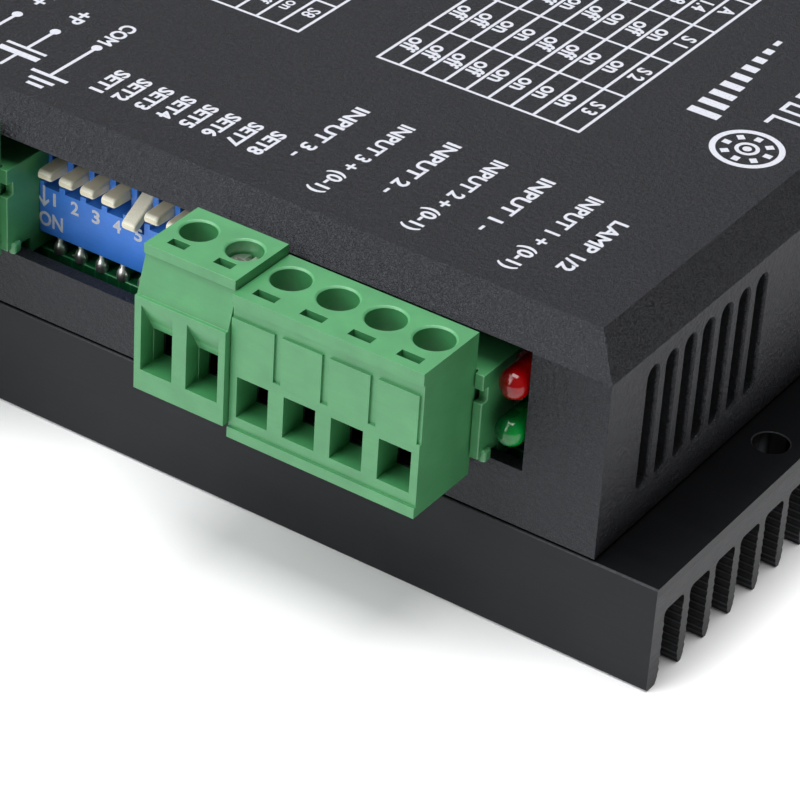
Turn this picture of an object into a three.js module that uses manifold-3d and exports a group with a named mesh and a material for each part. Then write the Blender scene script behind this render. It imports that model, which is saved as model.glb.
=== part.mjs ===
// A stepper driver module: a finned heatsink, a moulded cover, a circuit board with a switch block,
// two lamps, two sockets and three pull-out terminal plugs with clamp screws.
// Millimetres. X runs along the connector side, -Y is the connector side, +Z is up.
// The origin is the centre of the surface that the fins rest on.
import * as THREE from "three";
import { mergeVertices } from "three/addons/utils/BufferGeometryUtils.js";
import Module from "manifold-3d";

const wasm = await Module();
wasm.setup();

// ---- driving dimensions ----
const LENGTH = 118;
const DEPTH = 75.5;
const COVER_HEIGHT = 21.5;

const SINK_HEIGHT = 11.4;
const SINK_BASE = 3.3;
const SINK_WALL = 1.8;
const FIN = 1.05;
const FIN_COUNT = 15;
const FLANGE = 6.6;
const MOUNT_HOLE_R = 1.8;
const MOUNT_HOLE_INSET = 3.4;
const MOUNT_HOLE_GAP = 2.5;

const SEAM = 0.3;
const SHELL = 1.5;
const BEVEL = 3.1;
const VENT_COUNT = 7;
const VENT_PITCH = 3.22;
const VENT_WIDTH = 1.8;
const VENT_HEIGHT = 13;
const VENT_TOP = 4.9;
const VENT_INSET = 7.4;

const WINDOW_SIDE_ROOM = 0.7;
const WINDOW_LAMP_ROOM = 0.2;
const SILL_LIFT = 1.6;

const BOARD = 1.6;
const BOARD_LIFT = 3.1;
const BOARD_SIDE_ROOM = 0.9;
const BOARD_FRONT_INSET = 4.7;
const BOARD_BACK_INSET = 3;
const STANDOFF_R = 2.75;

const BOARD_SCREW_INSET = 10;
const BOARD_SCREW_SETBACK = 7;
const BOARD_SCREW_R = 1.5;
const BOARD_SCREW_HEAD_R = 2.8;
const BOARD_SCREW_HEAD = 2;
const BOARD_THREAD_R = 1.75;
const BOARD_THREAD_DEPTH = 2.4;
const COVER_SCREW_INSET = 5.9;
const COVER_SCREW_R = 1.25;
const COVER_SCREW_HEAD_R = 2.4;
const COVER_SCREW_HEAD = 2;
const COVER_SCREW_GRIP = 8;
const COVER_BOSS_R = 3.2;
const TOUCH_GAP = 0.1;

const SWITCH_CENTRE_X = -2.68;
const SWITCH_END = 1.76;
const SWITCH_INSET = 4.1;
const SWITCH_DEPTH = 8.5;
const SWITCH_LIFT = 2.2;
const SWITCH_HEIGHT = 8.1;
const SWITCH_COUNT = 8;
const SWITCH_PITCH = 2.54;
const SWITCH_ON = 5;
const LEVER_WIDTH = 1.4;
const LEVER_HEIGHT = 1.2;
const LEVER_REACH = 3.7;
const LEVER_TAIL = 0.5;
const LEVER_ROUND = 0.3;
const LEVER_SETBACK = 2.2;
const LEVER_DROP = 0.4;
const LEVER_TILT = 30;
const SLOT_CLEARANCE = 0.15;
const SLOT_LIFT = 4.6;

const TERMINAL_PITCH = 5.08;
const TERMINAL_COUNT = 6;
const ROW_GAP = 0.18;
const POWER_SETBACK = 0.9;
const HEADER_DEPTH = 11.5;
const HEADER_INSET = -0.95;
const HEADER_LIP = 0.65;
const HEADER_HEIGHT = 10.65;
const HEADER_WALL = 0.95;
const HEADER_STEP = 2.75;
const HEADER_GAP = 0.25;
const SILL_GAP = 0.4;
const LATCH_DEPTH = 0.9;
const LATCH_REACH = 2;
const LATCH_BOTTOM = 3;
const LATCH_TOP = 1.6;
const PLUG_GAP = 0.05;
const PLUG_REAR = 1.23;
const NOSE_DEPTH = 7.4;
const NOSE_CLEARANCE = 0.3;
const PIN_HOLE_HALF = 0.9;

const SCREW_LINE = 4.45;
const SCREW_HEAD_HEIGHT = 1.2;
const SCREW_HEAD_CLEARANCE = 0.2;
const SCREW_SHANK_R = 1.25;
const SCREW_TIP_R = 0.9;
const SCREW_TIP_EXTRA = 0.2;
const SCREW_HOLE_CLEARANCE = 0.3;
const SADDLE = 1.2;
const SADDLE_HALF = 1.7;
const CHAMBER_HALF = 1.9;
const CLAMP_TRAVEL = 2.3;
const SADDLE_LIFT = 2.9;
const SCREW_DROP = 3.6;
const SCREW_EDGE = 0.15;
const DRIVE_SLOT_HALF = 0.3;
const DRIVE_SLOT_DEPTH = 0.6;

const LAMP_GAP = 1.97;
const LAMP_R = 1.5;
const LAMP_LENGTH = 4;
const LAMP_FLANGE = 0.35;
const LAMP_FLANGE_THICKNESS = 0.9;
const LAMP_INSET = 0.5;
const RED_LIFT = 9.95;
const GREEN_LIFT = 5;

const CAPACITOR_R = 6.25;
const CAPACITOR_ROOM = 1.45;
const CAPACITOR_CENTRE = [-23, 12];
const CAPACITOR_PITCH = 18;
const CONTROLLER = [10, 10, 1.4];
const CONTROLLER_CENTRE = [14, 4];
const BRIDGE = [18, 10, 1.9];
const BRIDGE_PITCH = 28;
const BRIDGE_Y = 6;
const PAD = [56, 16, 0.8];
const COMPONENT_REST = 0.15;

// The plugs come in two patterns. Heights are above the board's top, and depths are in front of the cover.
// A key is a small slot in the top, beside each screw hole.
const PANELLED = {
  top: 14.87,
  bottom: -0.1,
  front: 9.73,
  holeR: 1.9,
  entryBottom: 2.2,
  entryTop: 6.5,
  keyHalf: 1.2,
  keyFront: 8.65,
};
const PANEL_GROOVE = 0.25;
const PANEL_GROOVE_HALF = 0.4;
const PANEL_GROOVE_LIFT = 7.6;
const PANEL_BAND_TOP = 1.25;
const PANEL_BAND_BOTTOM = 2.4;
const PANEL_LIP = 0.25;
const PANEL_LIP_HEIGHT = 1.1;

const HOODED = {
  top: 15.89,
  bottom: 1.2,
  front: 10.45,
  holeR: 1.75,
  entryBottom: 3.4,
  entryTop: 6.9,
  keyHalf: 0.95,
  keyFront: 7.9,
};
const HOOD_REACH = 9.2;
const HOOD_THICKNESS = 1;
const HOOD_PANEL = 8.85;
const CHIN_HEIGHT = 9.9;
const CHIN_STEP = 0.35;
const CHIN_ROUND = 0.2;
const FUNNEL_HEIGHT = 9.1;
const FUNNEL_DEPTH = 1.9;
const FUNNEL_HALF = 1.75;

const KEY_WIDTH = 1;
const KEY_DEPTH = 3;
const ENTRY_HALF = 1.7;
const CHAMBER_TOP = 8.9;

// ---- derived dimensions ----
const FRONT = -DEPTH / 2;
const COVER_LENGTH = LENGTH - 2 * FLANGE;
const COVER_BOTTOM = SINK_HEIGHT + SEAM;
const HEIGHT = COVER_BOTTOM + COVER_HEIGHT;
const BEVEL_FOOT = HEIGHT - BEVEL;
const FIN_PITCH = (DEPTH - 2 * SINK_WALL + FIN) / (FIN_COUNT + 1);
const MOUNT_HOLE_Y = MOUNT_HOLE_GAP * FIN_PITCH;
const BOARD_TOP = SINK_HEIGHT + BOARD_LIFT + BOARD;
const BOARD_HALF_X = COVER_LENGTH / 2 - SHELL - BOARD_SIDE_ROOM;
const BOARD_FRONT = FRONT + BOARD_FRONT_INSET;
const BOARD_BACK = DEPTH / 2 - BOARD_BACK_INSET;
const SWITCH_LENGTH = (SWITCH_COUNT - 1) * SWITCH_PITCH + 2 * SWITCH_END;
const SWITCH_BOTTOM = BOARD_TOP + SWITCH_LIFT;
const SWITCH_FRONT = FRONT + SWITCH_INSET;
const SWITCH_TOP = SWITCH_BOTTOM + SWITCH_HEIGHT;
const LEVER_PIVOT_Y = SWITCH_FRONT + LEVER_SETBACK;
const LEVER_PIVOT_Z = SWITCH_TOP - LEVER_DROP - LEVER_HEIGHT;
const HEADER_BOTTOM = BOARD_TOP + HEADER_GAP;
const HEADER_TOP = HEADER_BOTTOM + HEADER_HEIGHT;
const WINDOW_SILL = BOARD_TOP + SILL_LIFT;
const HEADER_STEP_Z = WINDOW_SILL + SILL_GAP;
const HEADER_HALF_X = (TERMINAL_COUNT * TERMINAL_PITCH) / 2 + HEADER_WALL + 0.05;
const SIGNAL_CENTRE_X = SWITCH_CENTRE_X + SWITCH_LENGTH / 2 + ROW_GAP + HEADER_HALF_X;
const POWER_CENTRE_X = SWITCH_CENTRE_X - SWITCH_LENGTH / 2 - ROW_GAP - HEADER_HALF_X;
const LAMP_X = SIGNAL_CENTRE_X + HEADER_HALF_X + LAMP_GAP;
const WINDOW_LEFT = POWER_CENTRE_X - HEADER_HALF_X - WINDOW_SIDE_ROOM;
const WINDOW_RIGHT = LAMP_X + LAMP_R + WINDOW_LAMP_ROOM;
const CAPACITOR_HEIGHT = HEIGHT - SHELL - CAPACITOR_ROOM - BOARD_TOP;

// ---- materials ----
function finish(color, roughness, metalness) {
  return new THREE.MeshStandardMaterial({ color, roughness, metalness });
}

const anodised = finish(0x3a3a3f, 0.55, 0.6);
const moulding = finish(0x2f3033, 0.7, 0);
const laminate = finish(0x0e4a26, 0.45, 0);
const switchBlue = finish(0x2a72c4, 0.45, 0);
const leverCream = finish(0xe4dcc4, 0.5, 0);
const terminalGreen = finish(0x5fb885, 0.5, 0);
const plated = finish(0xc4c6c8, 0.3, 1);
const redLens = finish(0xc0100c, 0.15, 0);
const greenLens = finish(0x14a048, 0.15, 0);
const sleeve = finish(0x16181c, 0.4, 0);
const chipBlack = finish(0x1c1d20, 0.6, 0);
const padGrey = finish(0x8f98a6, 0.8, 0);

// ---- solids ----
function solid(geometry) {
  const bare = geometry.clone();
  bare.deleteAttribute("normal");
  bare.deleteAttribute("uv");
  const merged = mergeVertices(bare, 1e-4);
  const vertProperties = merged.attributes.position.array;
  const triVerts = new Uint32Array(merged.index.array);
  return new wasm.Manifold(new wasm.Mesh({ numProp: 3, vertProperties, triVerts }));
}

function geometryOf(body) {
  const mesh = body.getMesh();
  const geometry = new THREE.BufferGeometry();
  geometry.setAttribute("position", new THREE.BufferAttribute(mesh.vertProperties, 3));
  geometry.setIndex(new THREE.BufferAttribute(mesh.triVerts, 1));
  geometry.computeVertexNormals();
  return geometry;
}

function block([x0, x1], [y0, y1], [z0, z1]) {
  const geometry = new THREE.BoxGeometry(x1 - x0, y1 - y0, z1 - z0);
  return solid(geometry.translate((x0 + x1) / 2, (y0 + y1) / 2, (z0 + z1) / 2));
}

function outline(points) {
  return new THREE.Shape(points.map(([u, v]) => new THREE.Vector2(u, v)));
}

// Extrudes a shape in (y, z) from x0 to x1.
function alongX(shape, x0, x1) {
  const options = { depth: x1 - x0, bevelEnabled: false, curveSegments: 4 };
  const geometry = new THREE.ExtrudeGeometry(shape, options);
  const turn = new THREE.Matrix4().makeBasis(
    new THREE.Vector3(0, 1, 0),
    new THREE.Vector3(0, 0, 1),
    new THREE.Vector3(1, 0, 0),
  );
  return geometry.applyMatrix4(turn).translate(x0, 0, 0);
}

// Extrudes a shape in (x, z) from y1 down to y0.
function alongY(shape, y0, y1) {
  const geometry = new THREE.ExtrudeGeometry(shape, { depth: y1 - y0, bevelEnabled: false });
  return geometry.rotateX(Math.PI / 2).translate(0, y1, 0);
}

// Turns a profile of [radius, z] points about Z. The points run up the outside, from the axis to the axis.
function turned(profile, segments = 12) {
  const points = profile.map(([r, z]) => new THREE.Vector2(r, z));
  return new THREE.LatheGeometry(points, segments).rotateX(Math.PI / 2);
}

function rod(radius, z0, z1, segments = 12) {
  return turned([[0, z0], [radius, z0], [radius, z1], [0, z1]], segments);
}

const joined = (first, ...rest) => rest.reduce((whole, piece) => whole.add(piece), first);
const cut = (first, ...rest) => rest.reduce((whole, piece) => whole.subtract(piece), first);
const range = (count) => [...Array(count).keys()];
const spread = (count, pitch) => range(count).map((i) => (i - (count - 1) / 2) * pitch);

const driver = new THREE.Group();

function place(parent, name, geometry, material, x = 0, y = 0, z = 0) {
  const mesh = new THREE.Mesh(geometry, material);
  mesh.name = name;
  mesh.position.set(x, y, z);
  parent.add(mesh);
  return mesh;
}

// ---- heatsink ----
function heatsink() {
  const half = LENGTH / 2;
  const gapTop = SINK_HEIGHT - SINK_BASE;
  const gap = FIN_PITCH - FIN;
  const gaps = spread(FIN_COUNT + 1, FIN_PITCH).map((y) =>
    block([-half - 1, half + 1], [y - gap / 2, y + gap / 2], [-1, gapTop]),
  );
  const mountHoles = [-1, 1].flatMap((side) =>
    [-1, 1].map((row) => {
      const hole = rod(MOUNT_HOLE_R, gapTop - 1, SINK_HEIGHT + 1, 16);
      return solid(hole.translate(side * (half - MOUNT_HOLE_INSET), row * MOUNT_HOLE_Y, 0));
    }),
  );
  const boardHoles = boardScrewPlaces().map(([x, y]) =>
    solid(rod(BOARD_THREAD_R, SINK_HEIGHT - BOARD_THREAD_DEPTH, SINK_HEIGHT + 1).translate(x, y, 0)),
  );
  const coverHoles = coverScrewPlaces().flatMap(([x, y]) => [
    solid(rod(COVER_SCREW_HEAD_R + 2 * SCREW_HOLE_CLEARANCE, -1, gapTop).translate(x, y, 0)),
    solid(rod(COVER_SCREW_R + SCREW_HOLE_CLEARANCE, gapTop - 1, SINK_HEIGHT + 1).translate(x, y, 0)),
  ]);
  const body = block([-half, half], [FRONT, -FRONT], [0, SINK_HEIGHT]);
  return geometryOf(cut(body, ...gaps, ...mountHoles, ...boardHoles, ...coverHoles));
}

// ---- cover ----
// The outline of the shell's section: upright walls, then a bevel on each side of the flat top.
function shellOutline(halfWidth, inset, bottom) {
  const wall = halfWidth - inset;
  const top = HEIGHT - inset;
  const bevel = BEVEL - inset * (2 - Math.SQRT2);
  return outline([
    [-wall, bottom],
    [wall, bottom],
    [wall, top - bevel],
    [wall - bevel, top],
    [-wall + bevel, top],
    [-wall, top - bevel],
  ]);
}

function shellBody(inset, bottom) {
  const long = COVER_LENGTH / 2;
  const wide = DEPTH / 2;
  const sideProfile = solid(alongX(shellOutline(wide, inset, bottom), -long + inset, long - inset));
  const frontProfile = solid(alongY(shellOutline(long, inset, bottom), -wide + inset, wide - inset));
  return sideProfile.intersect(frontProfile);
}

function ventSlot(y) {
  const r = VENT_WIDTH / 2;
  const top = HEIGHT - VENT_TOP;
  const shape = new THREE.Shape();
  shape.absarc(y, top - r, r, 0, Math.PI);
  shape.absarc(y, top - VENT_HEIGHT + r, r, Math.PI, 2 * Math.PI);
  const long = COVER_LENGTH / 2;
  return solid(alongX(shape, long - SHELL - 1, long + 1));
}

function vents() {
  const front = range(VENT_COUNT).map((i) => FRONT + VENT_INSET + i * VENT_PITCH);
  const right = [...front, ...front.map((y) => -y)].map(ventSlot);
  return [...right, ...right.map((slot) => slot.translate([-COVER_LENGTH, 0, 0]))];
}

function cover() {
  const boss = coverScrewPlaces().map(([x, y]) =>
    solid(rod(COVER_BOSS_R, COVER_BOTTOM, HEIGHT - SHELL / 2, 16).translate(x, y, 0)),
  );
  const pilotTop = COVER_BOTTOM + COVER_SCREW_GRIP + 0.5;
  const pilots = coverScrewPlaces().map(([x, y]) =>
    solid(rod(COVER_SCREW_R + SCREW_HOLE_CLEARANCE, COVER_BOTTOM - 1, pilotTop).translate(x, y, 0)),
  );
  const windowDepth = [FRONT - 1, FRONT + 2 * SHELL];
  const window = block([WINDOW_LEFT, WINDOW_RIGHT], windowDepth, [WINDOW_SILL, BEVEL_FOOT]);
  const shell = cut(shellBody(0, COVER_BOTTOM), shellBody(SHELL, COVER_BOTTOM - 1));
  return geometryOf(cut(joined(shell, ...boss), window, ...pilots, ...vents()));
}

// ---- circuit board and what holds it ----
function boardScrewPlaces() {
  const front = FRONT + POWER_SETBACK + HEADER_INSET + HEADER_DEPTH + BOARD_SCREW_SETBACK;
  const back = BOARD_BACK - BOARD_SCREW_SETBACK;
  return [-1, 1].flatMap((side) => [front, back].map((y) => [side * (BOARD_HALF_X - BOARD_SCREW_INSET), y]));
}

function coverScrewPlaces() {
  return [-1, 1].map((side) => [side * (COVER_LENGTH / 2 - COVER_SCREW_INSET), 0]);
}

function circuitBoard() {
  const under = BOARD_TOP - BOARD;
  const plate = block([-BOARD_HALF_X, BOARD_HALF_X], [BOARD_FRONT, BOARD_BACK], [under, BOARD_TOP]);
  const holes = boardScrewPlaces().map(([x, y]) =>
    solid(rod(BOARD_SCREW_R + SCREW_HOLE_CLEARANCE, under - 1, BOARD_TOP + 1).translate(x, y, 0)),
  );
  const reach = COVER_BOSS_R + 0.5;
  const notches = coverScrewPlaces().map(([x, y]) =>
    block(
      x > 0 ? [x - reach, BOARD_HALF_X + 1] : [-BOARD_HALF_X - 1, x + reach],
      [y - reach, y + reach],
      [under - 1, BOARD_TOP + 1],
    ),
  );
  return geometryOf(cut(plate, ...holes, ...notches));
}

function standoff(height) {
  const bore = BOARD_SCREW_R + SCREW_HOLE_CLEARANCE;
  return turned([[bore, 0], [STANDOFF_R, 0], [STANDOFF_R, height], [bore, height], [bore, 0]], 16);
}

// A screw that points down from a head whose underside is at z = 0.
function panScrew(headR, head, shankR, length) {
  return turned([[0, -length], [shankR, -length], [shankR, 0], [headR, 0], [headR * 0.8, head], [0, head]]);
}

function buildBoard() {
  place(driver, "circuit_board", circuitBoard(), laminate);
  const room = BOARD_TOP - BOARD - SINK_HEIGHT;
  const length = BOARD_TOP - SINK_HEIGHT + BOARD_THREAD_DEPTH - 0.4;
  boardScrewPlaces().forEach(([x, y], i) => {
    place(driver, `standoff_${i + 1}`, standoff(room - 2 * TOUCH_GAP), plated, x, y, SINK_HEIGHT + TOUCH_GAP);
    const screw = panScrew(BOARD_SCREW_HEAD_R, BOARD_SCREW_HEAD, BOARD_SCREW_R, length);
    place(driver, `board_screw_${i + 1}`, screw, plated, x, y, BOARD_TOP + TOUCH_GAP);
  });
  coverScrewPlaces().forEach(([x, y], i) => {
    const grip = SINK_BASE + SEAM + COVER_SCREW_GRIP;
    const screw = panScrew(COVER_SCREW_HEAD_R, COVER_SCREW_HEAD, COVER_SCREW_R, grip).rotateX(Math.PI);
    place(driver, `cover_screw_${i + 1}`, screw, plated, x, y, SINK_HEIGHT - SINK_BASE - TOUCH_GAP);
  });
}

// ---- electronics on the board ----
// A can with a rolled groove round its foot and a rounded top.
function capacitor() {
  const r = CAPACITOR_R;
  const h = CAPACITOR_HEIGHT;
  const roll = 0.4;
  const shoulder = 0.6;
  const foot = [[0, 0], [r - roll, 0], [r, roll]];
  const groove = [[r, 1.4], [r - roll, 1.4 + roll], [r, 1.4 + 2 * roll]];
  const top = [[r, h - shoulder], [r - shoulder, h], [0, h]];
  return turned([...foot, ...groove, ...top], 16);
}

function slab([length, width, height]) {
  return new THREE.BoxGeometry(length, width, height).translate(0, 0, height / 2);
}

function buildElectronics() {
  const [canX, canY] = CAPACITOR_CENTRE;
  const bridgeZ = BOARD_TOP - BOARD - COMPONENT_REST - BRIDGE[2];
  spread(2, CAPACITOR_PITCH).forEach((x, i) => {
    place(driver, `capacitor_${i + 1}`, capacitor(), sleeve, canX + x, canY, BOARD_TOP + COMPONENT_REST);
  });
  spread(2, BRIDGE_PITCH).forEach((x, i) => {
    place(driver, `power_bridge_${i + 1}`, slab(BRIDGE), chipBlack, x, BRIDGE_Y, bridgeZ);
  });
  const controllerPlace = [...CONTROLLER_CENTRE, BOARD_TOP + COMPONENT_REST];
  place(driver, "microcontroller", slab(CONTROLLER), chipBlack, ...controllerPlace);
  place(driver, "thermal_pad", slab(PAD), padGrey, 0, BRIDGE_Y, SINK_HEIGHT + TOUCH_GAP);
}

// ---- switch block ----
function switchBody() {
  const half = SWITCH_LENGTH / 2;
  const back = SWITCH_FRONT + SWITCH_DEPTH;
  const body = block([-half, half], [SWITCH_FRONT, back], [SWITCH_BOTTOM, SWITCH_TOP]);
  const reach = LEVER_WIDTH / 2 + SLOT_CLEARANCE;
  const slotBack = LEVER_PIVOT_Y + LEVER_TAIL + LEVER_HEIGHT + 0.3;
  const slots = spread(SWITCH_COUNT, SWITCH_PITCH).map((x) =>
    block([x - reach, x + reach], [SWITCH_FRONT - 1, slotBack], [SWITCH_BOTTOM + SLOT_LIFT, SWITCH_TOP + 1]),
  );
  return geometryOf(cut(body, ...slots).translate([SWITCH_CENTRE_X, 0, 0]));
}

// The lever's pivot is its origin. It reaches forward, and its free end is rounded.
function lever() {
  const side = outline([
    [LEVER_TAIL, 0],
    [LEVER_TAIL, LEVER_HEIGHT],
    [-LEVER_REACH + LEVER_ROUND, LEVER_HEIGHT],
    [-LEVER_REACH, LEVER_HEIGHT - LEVER_ROUND],
    [-LEVER_REACH, LEVER_ROUND],
    [-LEVER_REACH + LEVER_ROUND, 0],
  ]);
  return alongX(side, -LEVER_WIDTH / 2, LEVER_WIDTH / 2);
}

function buildSwitch() {
  place(driver, "dip_switch_body", switchBody(), switchBlue);
  spread(SWITCH_COUNT, SWITCH_PITCH).forEach((x, i) => {
    const pivot = [SWITCH_CENTRE_X + x, LEVER_PIVOT_Y, LEVER_PIVOT_Z];
    const mesh = place(driver, `dip_lever_${i + 1}`, lever(), leverCream, ...pivot);
    mesh.rotation.x = i + 1 === SWITCH_ON ? THREE.MathUtils.degToRad(LEVER_TILT) : 0;
  });
}

// ---- sockets ----
// The socket's tail stands on the board, and its mouth reaches out over the window sill.
function header() {
  const half = HEADER_HALF_X;
  const mouth = FRONT + HEADER_INSET;
  const back = mouth + HEADER_DEPTH;
  const lip = mouth - HEADER_LIP;
  const inner = half - HEADER_WALL;
  const cheek = (x0, x1) => block([x0, x1], [lip, back], [HEADER_BOTTOM, HEADER_TOP]);
  const outer = joined(
    block([-half, half], [mouth, back], [HEADER_BOTTOM, HEADER_TOP]),
    cheek(-half, -inner),
    cheek(inner, half),
  );
  const pocketFloor = HEADER_STEP_Z + HEADER_WALL;
  const pocketBack = mouth + NOSE_DEPTH + HEADER_WALL;
  const pocket = block([-inner, inner], [lip - 1, pocketBack], [pocketFloor, HEADER_TOP - HEADER_WALL]);
  const stepDepth = [lip - 1, mouth + HEADER_STEP];
  const step = block([-half - 1, half + 1], stepDepth, [HEADER_BOTTOM - 1, HEADER_STEP_Z]);
  const latches = [-1, 1].map((side) =>
    block(
      [side * half - LATCH_REACH, side * half + LATCH_REACH],
      [lip - 1, lip + LATCH_DEPTH],
      [HEADER_TOP - LATCH_BOTTOM, HEADER_TOP - LATCH_TOP],
    ),
  );
  return geometryOf(cut(outer, pocket, step, ...latches));
}

// ---- plugs ----
// Each is built about the middle of its terminals, y from the cover's front and z from the board's top.
function plugNose(count) {
  const half = (count * TERMINAL_PITCH) / 2 - PLUG_GAP - NOSE_CLEARANCE;
  const floor = HEADER_STEP_Z + HEADER_WALL + NOSE_CLEARANCE - BOARD_TOP;
  const roof = HEADER_TOP - HEADER_WALL - NOSE_CLEARANCE - BOARD_TOP;
  const nose = block([-half, half], [-PLUG_REAR - 0.5, -PLUG_REAR + NOSE_DEPTH], [floor, roof]);
  const middle = (floor + roof) / 2;
  const sockets = spread(count, TERMINAL_PITCH).map((x) =>
    block(
      [x - PIN_HOLE_HALF, x + PIN_HOLE_HALF],
      [-PLUG_REAR + 1, NOSE_DEPTH],
      [middle - PIN_HOLE_HALF, middle + PIN_HOLE_HALF],
    ),
  );
  return cut(nose, ...sockets);
}

function terminalCuts(style, x) {
  const line = -SCREW_LINE;
  const chamber = block(
    [x - CHAMBER_HALF, x + CHAMBER_HALF],
    [line - CHAMBER_HALF, line + CHAMBER_HALF],
    [style.entryBottom, CHAMBER_TOP],
  );
  const shaft = solid(rod(style.holeR, CHAMBER_TOP - 0.5, style.top + 1, 16).translate(x, line, 0));
  const entry = block(
    [x - ENTRY_HALF, x + ENTRY_HALF],
    [-style.front - 1, line],
    [style.entryBottom, style.entryTop],
  );
  const key = block(
    [x - style.keyHalf, x + style.keyHalf],
    [-style.keyFront, -style.keyFront + KEY_WIDTH],
    [style.top - KEY_DEPTH, style.top + 1],
  );
  return [chamber, shaft, entry, key];
}

// The panelled plug has a flat face with a band, grooves between its panels, and a low lip.
function panelledPlug(count) {
  const style = PANELLED;
  const half = (count * TERMINAL_PITCH) / 2 - PLUG_GAP;
  const front = -style.front;
  const cutDepth = [front - 1, front + PANEL_GROOVE];
  const body = block([-half, half], [front, -PLUG_REAR], [style.bottom, style.top]);
  const lipHeights = [style.bottom, style.bottom + PANEL_LIP_HEIGHT];
  const lip = block([-half, half], [front - PANEL_LIP, front + 1], lipHeights);
  const bandHeights = [style.top - PANEL_BAND_BOTTOM, style.top - PANEL_BAND_TOP];
  const band = block([-half - 1, half + 1], cutDepth, bandHeights);
  const grooveHeights = [style.bottom + PANEL_GROOVE_LIFT, style.top - PANEL_BAND_BOTTOM + PANEL_GROOVE_HALF];
  const grooves = spread(count, TERMINAL_PITCH).map((x) => {
    const middle = x + TERMINAL_PITCH / 2;
    return block([middle - PANEL_GROOVE_HALF, middle + PANEL_GROOVE_HALF], cutDepth, grooveHeights);
  });
  const terminals = spread(count, TERMINAL_PITCH).flatMap((x) => terminalCuts(style, x));
  return geometryOf(cut(joined(body, lip, plugNose(count)), band, ...grooves, ...terminals));
}

// The hooded plug has a top plate, a set-back panel and a deep chin with funnel entries.
function hoodedPlug(count) {
  const style = HOODED;
  const half = (count * TERMINAL_PITCH) / 2 - PLUG_GAP;
  const chinTop = style.bottom + CHIN_HEIGHT;
  const profile = outline([
    [-style.front, style.bottom],
    [-PLUG_REAR, style.bottom],
    [-PLUG_REAR, style.top],
    [-HOOD_REACH, style.top],
    [-HOOD_REACH, style.top - HOOD_THICKNESS],
    [-HOOD_PANEL, style.top - HOOD_THICKNESS],
    [CHIN_STEP - style.front, chinTop],
    [-style.front, chinTop - CHIN_ROUND],
  ]);
  const body = solid(alongX(profile, -half, half));
  const funnelTop = style.bottom + FUNNEL_HEIGHT;
  const funnelBack = -style.front + FUNNEL_DEPTH;
  const funnel = outline([
    [-style.front - 1, style.entryBottom],
    [funnelBack, style.entryBottom],
    [funnelBack, style.entryTop],
    [-style.front, funnelTop],
    [-style.front - 1, funnelTop],
  ]);
  const terminals = spread(count, TERMINAL_PITCH).flatMap((x) => [
    ...terminalCuts(style, x),
    solid(alongX(funnel, x - FUNNEL_HALF, x + FUNNEL_HALF)),
  ]);
  return geometryOf(cut(joined(body, plugNose(count)), ...terminals));
}

// ---- clamp screws and saddles ----
// A slotted screw whose head top is at z = 0, with a thin tip that turns in the saddle.
function clampScrew(headR, length) {
  const tip = SADDLE + SCREW_TIP_EXTRA;
  const profile = [
    [0, -length],
    [SCREW_TIP_R, -length],
    [SCREW_TIP_R, -length + tip],
    [SCREW_SHANK_R, -length + tip],
    [SCREW_SHANK_R, -SCREW_HEAD_HEIGHT],
    [headR, -SCREW_HEAD_HEIGHT],
    [headR, -SCREW_EDGE],
    [headR - SCREW_EDGE, 0],
    [0, 0],
  ];
  const slot = block([-DRIVE_SLOT_HALF, DRIVE_SLOT_HALF], [-headR - 1, headR + 1], [-DRIVE_SLOT_DEPTH, 1]);
  return geometryOf(cut(solid(turned(profile)), slot));
}

function saddle() {
  const plate = block([-SADDLE_HALF, SADDLE_HALF], [-SADDLE_HALF, SADDLE_HALF], [-SADDLE, 0]);
  return geometryOf(cut(plate, solid(rod(SCREW_TIP_R + SCREW_HOLE_CLEARANCE, -SADDLE - 1, 1))));
}

// Fits a screw and a saddle to each terminal. A raised one is backed out by the clamp's full travel.
function fitClamps(parent, prefix, firstNumber, count, style, raised) {
  const saddleTop = style.entryBottom + SADDLE_LIFT;
  const screwTop = style.top - SCREW_DROP;
  const headR = style.holeR - SCREW_HEAD_CLEARANCE;
  const length = screwTop - saddleTop + SADDLE + SCREW_TIP_EXTRA;
  spread(count, TERMINAL_PITCH).forEach((x, i) => {
    const number = firstNumber + i;
    const lift = raised.includes(number) ? CLAMP_TRAVEL : 0;
    const screw = clampScrew(headR, length);
    place(parent, `${prefix}_screw_${number}`, screw, plated, x, -SCREW_LINE, screwTop + lift);
    place(parent, `${prefix}_clamp_${number}`, saddle(), plated, x, -SCREW_LINE, saddleTop + lift);
  });
}

// Adds a plug whose first terminal is the given one of the socket, counted from the left.
function buildPlug(socket, name, makePlug, style, prefix, firstNumber, count, raised) {
  const group = new THREE.Group();
  group.position.x = ((2 * firstNumber - 2 + count - TERMINAL_COUNT) / 2) * TERMINAL_PITCH;
  group.position.y = FRONT;
  group.position.z = BOARD_TOP;
  socket.add(group);
  place(group, name, makePlug(count), terminalGreen);
  fitClamps(group, prefix, firstNumber, count, style, raised);
}

function buildConnectors() {
  const signal = new THREE.Group();
  signal.position.x = SIGNAL_CENTRE_X;
  driver.add(signal);
  place(signal, "signal_header", header(), terminalGreen);
  buildPlug(signal, "signal_plug_2way", hoodedPlug, HOODED, "signal", 1, 2, [2]);
  buildPlug(signal, "signal_plug_4way", panelledPlug, PANELLED, "signal", 3, 4, []);
  const power = new THREE.Group();
  power.position.set(POWER_CENTRE_X, POWER_SETBACK, 0);
  driver.add(power);
  place(power, "power_header", header(), terminalGreen);
  buildPlug(power, "power_plug", hoodedPlug, HOODED, "power", 1, 6, []);
}

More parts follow.
